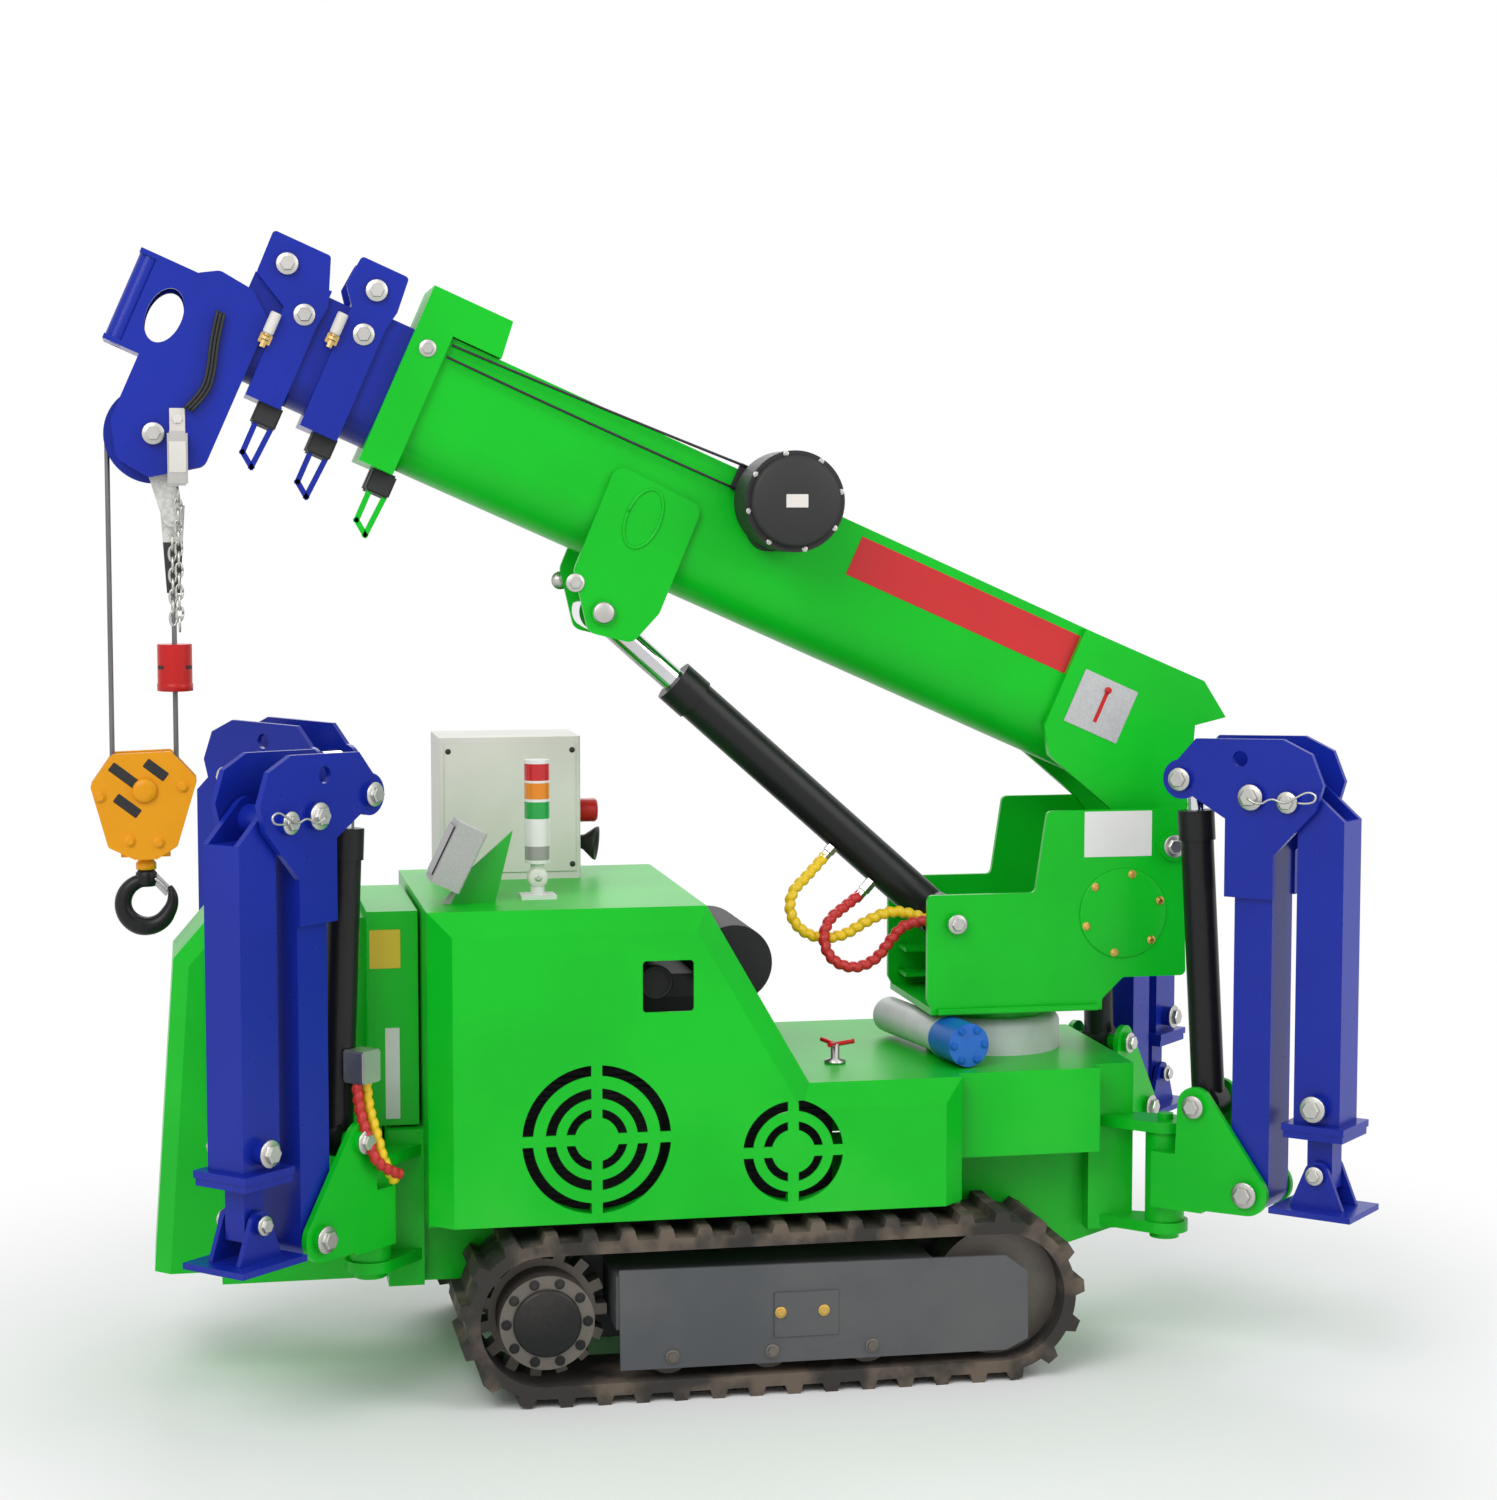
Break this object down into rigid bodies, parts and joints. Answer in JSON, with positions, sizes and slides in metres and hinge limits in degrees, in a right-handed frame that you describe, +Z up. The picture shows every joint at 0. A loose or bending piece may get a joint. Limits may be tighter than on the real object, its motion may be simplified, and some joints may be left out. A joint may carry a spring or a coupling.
{
  "type": "mini crawler crane",
  "caption": "Compact crawler crane on rubber tracks, with folding outriggers, a slewing turret, a telescopic boom and a hook block.",
  "frame": {"origin": "on the ground, midway between the tracks, under the middle of the track frames", "axes": "+X towards the turret end, -X the way the boom points at rest, -Y the right-hand side, +Z up"},
  "size_m": [2.491, 1.2842, 2.2674],
  "materials": {
    "track_rubber": "matte, dusty",
    "grey_paint": "satin",
    "wheel_steel": "dull, dusty",
    "green_paint": "gloss",
    "blue_paint": "gloss",
    "black_paint": "semi-gloss",
    "engine_black": "matte",
    "cabinet_paint": "satin",
    "drive_paint": "satin",
    "signal_plastic": "gloss",
    "black_plastic": "matte",
    "chrome_rod": "polished",
    "zinc_steel": "satin",
    "rope_steel": "dull",
    "red_paint": "gloss",
    "amber_paint": "gloss"
  },
  "bodies": {
    "chassis": {"chassis_frame": "green_paint", "tail_tank": "green_paint", "hood_side_right": "green_paint", "hood_side_left": "green_paint", "hood_top": "green_paint", "engine_block": "engine_black", "control_cabinet": "cabinet_paint", "control_box": "cabinet_paint", "signal_tower": "signal_plastic", "slew_drive": "drive_paint", "track_belt_right": "track_rubber", "track_belt_left": "track_rubber", "track_frame_right": "grey_paint", "track_frame_left": "grey_paint", "track_wheels_right": "wheel_steel", "track_wheels_left": "wheel_steel"},
    "turret": {"turret": "green_paint", "winch_drum": "wheel_steel"},
    "boom": {"boom_main": "green_paint", "cable_reel": "black_plastic"},
    "boom_section_2": {"boom_section_2": "blue_paint"},
    "boom_section_3": {"boom_section_3": "blue_paint"},
    "boom_head": {"boom_section_4": "blue_paint", "boom_head": "blue_paint"},
    "lift_rod": {"lift_rod": "chrome_rod"},
    "lift_barrel": {"lift_barrel": "black_paint"},
    "hook_block": {"dead_end_link": "zinc_steel", "hoist_rope": "rope_steel", "limit_weight": "red_paint", "hook_block": "amber_paint"},
    "hook": {"load_hook": "black_paint"},
    "knuckle_front_right": {"outrigger_knuckle_front_right": "green_paint"},
    "arm_front_right": {"outrigger_arm_front_right": "blue_paint"},
    "leg_front_right": {"outrigger_leg_front_right": "blue_paint"},
    "foot_front_right": {"outrigger_foot_front_right": "blue_paint"},
    "ram_barrel_front_right": {"outrigger_ram_barrel_front_right": "black_paint"},
    "ram_rod_front_right": {"outrigger_ram_rod_front_right": "chrome_rod"},
    "knuckle_front_left": {"outrigger_knuckle_front_left": "green_paint"},
    "arm_front_left": {"outrigger_arm_front_left": "blue_paint"},
    "leg_front_left": {"outrigger_leg_front_left": "blue_paint"},
    "foot_front_left": {"outrigger_foot_front_left": "blue_paint"},
    "ram_barrel_front_left": {"outrigger_ram_barrel_front_left": "black_paint"},
    "ram_rod_front_left": {"outrigger_ram_rod_front_left": "chrome_rod"},
    "knuckle_rear_right": {"outrigger_knuckle_rear_right": "green_paint"},
    "arm_rear_right": {"outrigger_arm_rear_right": "blue_paint"},
    "leg_rear_right": {"outrigger_leg_rear_right": "blue_paint"},
    "foot_rear_right": {"outrigger_foot_rear_right": "blue_paint"},
    "ram_barrel_rear_right": {"outrigger_ram_barrel_rear_right": "black_paint"},
    "ram_rod_rear_right": {"outrigger_ram_rod_rear_right": "chrome_rod"},
    "knuckle_rear_left": {"outrigger_knuckle_rear_left": "green_paint"},
    "arm_rear_left": {"outrigger_arm_rear_left": "blue_paint"},
    "leg_rear_left": {"outrigger_leg_rear_left": "blue_paint"},
    "foot_rear_left": {"outrigger_foot_rear_left": "blue_paint"},
    "ram_barrel_rear_left": {"outrigger_ram_barrel_rear_left": "black_paint"},
    "ram_rod_rear_left": {"outrigger_ram_rod_rear_left": "chrome_rod"}
  },
  "joints": [
    {"name": "slew", "type": "hinge", "parent": "chassis", "child": "turret", "pos_m": [0.56, 0, 0.65], "axis": [0, 0, 1], "continuous": true},
    {"name": "boom_luff", "type": "hinge", "parent": "turret", "child": "boom", "pos_m": [0.894, 0, 1.037], "axis": [0, 1, 0], "range_deg": [-19, 54]},
    {"name": "telescope_2", "type": "slide", "parent": "boom", "child": "boom_section_2", "axis": [-0.9135, 0, 0.4067], "range_m": [0, 1]},
    {"name": "telescope_3", "type": "slide", "parent": "boom_section_2", "child": "boom_section_3", "axis": [-0.9135, 0, 0.4067], "range_m": [0, 1]},
    {"name": "telescope_4", "type": "slide", "parent": "boom_section_3", "child": "boom_head", "axis": [-0.9135, 0, 0.4067], "range_m": [0, 1]},
    {"name": "lift_rod_swing", "type": "hinge", "parent": "boom", "child": "lift_rod", "pos_m": [-0.28369, 0, 1.52412], "axis": [0, 1, 0], "range_deg": [-10, 10]},
    {"name": "lift_barrel_slide", "type": "slide", "parent": "lift_rod", "child": "lift_barrel", "axis": [0.7469, 0, -0.6649], "range_m": [-0.16, 0.42]},
    {"name": "hook_hang", "type": "hinge", "parent": "boom_head", "child": "hook_block", "pos_m": [-1.15716, 0, 1.8758], "axis": [0, -1, 0], "range_deg": [-19, 54]},
    {"name": "hook_swivel", "type": "hinge", "parent": "hook_block", "child": "hook", "pos_m": [-1.18476, 0, 1.05], "axis": [0, 0, 1], "continuous": true},
    {"name": "swing_front_right", "type": "hinge", "parent": "chassis", "child": "knuckle_front_right", "pos_m": [0.845, -0.285, 0.37], "axis": [0, 0, -1], "range_deg": [-45, 30]},
    {"name": "raise_front_right", "type": "hinge", "parent": "knuckle_front_right", "child": "arm_front_right", "pos_m": [0.99208, -0.43208, 0.374], "axis": [0.7071, 0.7071, 0], "range_deg": [0, 60]},
    {"name": "fold_front_right", "type": "hinge", "parent": "arm_front_right", "child": "leg_front_right", "pos_m": [1.04652, -0.48652, 1.16], "axis": [-0.7071, -0.7071, 0], "range_deg": [0, 90]},
    {"name": "foot_extend_front_right", "type": "slide", "parent": "leg_front_right", "child": "foot_front_right", "axis": [0, 0, -1], "range_m": [0, 0.25]},
    {"name": "ram_swing_front_right", "type": "hinge", "parent": "knuckle_front_right", "child": "ram_barrel_front_right", "pos_m": [0.91217, -0.35218, 0.538], "axis": [0.7071, 0.7071, 0], "range_deg": [0, 68]},
    {"name": "ram_stroke_front_right", "type": "slide", "parent": "ram_barrel_front_right", "child": "ram_rod_front_right", "axis": [-0.043, 0.043, 0.9981], "range_m": [0, 0.19]},
    {"name": "swing_front_left", "type": "hinge", "parent": "chassis", "child": "knuckle_front_left", "pos_m": [0.845, 0.285, 0.37], "axis": [0, 0, 1], "range_deg": [-45, 30]},
    {"name": "raise_front_left", "type": "hinge", "parent": "knuckle_front_left", "child": "arm_front_left", "pos_m": [0.99208, 0.43208, 0.374], "axis": [-0.7071, 0.7071, 0], "range_deg": [0, 60]},
    {"name": "fold_front_left", "type": "hinge", "parent": "arm_front_left", "child": "leg_front_left", "pos_m": [1.04652, 0.48652, 1.16], "axis": [0.7071, -0.7071, 0], "range_deg": [0, 90]},
    {"name": "foot_extend_front_left", "type": "slide", "parent": "leg_front_left", "child": "foot_front_left", "axis": [0, 0, -1], "range_m": [0, 0.25]},
    {"name": "ram_swing_front_left", "type": "hinge", "parent": "knuckle_front_left", "child": "ram_barrel_front_left", "pos_m": [0.91217, 0.35218, 0.538], "axis": [-0.7071, 0.7071, 0], "range_deg": [0, 68]},
    {"name": "ram_stroke_front_left", "type": "slide", "parent": "ram_barrel_front_left", "child": "ram_rod_front_left", "axis": [-0.043, -0.043, 0.9981], "range_m": [0, 0.19]},
    {"name": "swing_rear_right", "type": "hinge", "parent": "chassis", "child": "knuckle_rear_right", "pos_m": [-0.77, -0.285, 0.37], "axis": [0, 0, 1], "range_deg": [-45, 30]},
    {"name": "raise_rear_right", "type": "hinge", "parent": "knuckle_rear_right", "child": "arm_rear_right", "pos_m": [-0.91708, -0.43208, 0.374], "axis": [0.7071, -0.7071, 0], "range_deg": [0, 60]},
    {"name": "fold_rear_right", "type": "hinge", "parent": "arm_rear_right", "child": "leg_rear_right", "pos_m": [-0.97152, -0.48652, 1.16], "axis": [-0.7071, 0.7071, 0], "range_deg": [0, 90]},
    {"name": "foot_extend_rear_right", "type": "slide", "parent": "leg_rear_right", "child": "foot_rear_right", "axis": [0, 0, -1], "range_m": [0, 0.25]},
    {"name": "ram_swing_rear_right", "type": "hinge", "parent": "knuckle_rear_right", "child": "ram_barrel_rear_right", "pos_m": [-0.83718, -0.35218, 0.538], "axis": [0.7071, -0.7071, 0], "range_deg": [0, 68]},
    {"name": "ram_stroke_rear_right", "type": "slide", "parent": "ram_barrel_rear_right", "child": "ram_rod_rear_right", "axis": [0.043, 0.043, 0.9981], "range_m": [0, 0.19]},
    {"name": "swing_rear_left", "type": "hinge", "parent": "chassis", "child": "knuckle_rear_left", "pos_m": [-0.77, 0.285, 0.37], "axis": [0, 0, -1], "range_deg": [-45, 30]},
    {"name": "raise_rear_left", "type": "hinge", "parent": "knuckle_rear_left", "child": "arm_rear_left", "pos_m": [-0.91708, 0.43208, 0.374], "axis": [-0.7071, -0.7071, 0], "range_deg": [0, 60]},
    {"name": "fold_rear_left", "type": "hinge", "parent": "arm_rear_left", "child": "leg_rear_left", "pos_m": [-0.97152, 0.48652, 1.16], "axis": [0.7071, 0.7071, 0], "range_deg": [0, 90]},
    {"name": "foot_extend_rear_left", "type": "slide", "parent": "leg_rear_left", "child": "foot_rear_left", "axis": [0, 0, -1], "range_m": [0, 0.25]},
    {"name": "ram_swing_rear_left", "type": "hinge", "parent": "knuckle_rear_left", "child": "ram_barrel_rear_left", "pos_m": [-0.83718, 0.35218, 0.538], "axis": [-0.7071, -0.7071, 0], "range_deg": [0, 68]},
    {"name": "ram_stroke_rear_left", "type": "slide", "parent": "ram_barrel_rear_left", "child": "ram_rod_rear_left", "axis": [0.043, -0.043, 0.9981], "range_m": [0, 0.19]}
  ],
  "couplings": [
    {"joint": "telescope_3", "follows": "telescope_2", "ratio": 1},
    {"joint": "telescope_4", "follows": "telescope_2", "ratio": 1},
    {"joint": "lift_rod_swing", "follows": "boom_luff", "ratio": 0.08},
    {"joint": "lift_barrel_slide", "follows": "boom_luff", "m_per_rad": 0.43},
    {"joint": "hook_hang", "follows": "boom_luff", "ratio": 1},
    {"joint": "ram_swing_front_right", "follows": "raise_front_right", "ratio": 1.11},
    {"joint": "ram_stroke_front_right", "follows": "raise_front_right", "m_per_rad": 0.172},
    {"joint": "ram_swing_front_left", "follows": "raise_front_left", "ratio": 1.11},
    {"joint": "ram_stroke_front_left", "follows": "raise_front_left", "m_per_rad": 0.172},
    {"joint": "ram_swing_rear_right", "follows": "raise_rear_right", "ratio": 1.11},
    {"joint": "ram_stroke_rear_right", "follows": "raise_rear_right", "m_per_rad": 0.172},
    {"joint": "ram_swing_rear_left", "follows": "raise_rear_left", "ratio": 1.11},
    {"joint": "ram_stroke_rear_left", "follows": "raise_rear_left", "m_per_rad": 0.172}
  ]
}
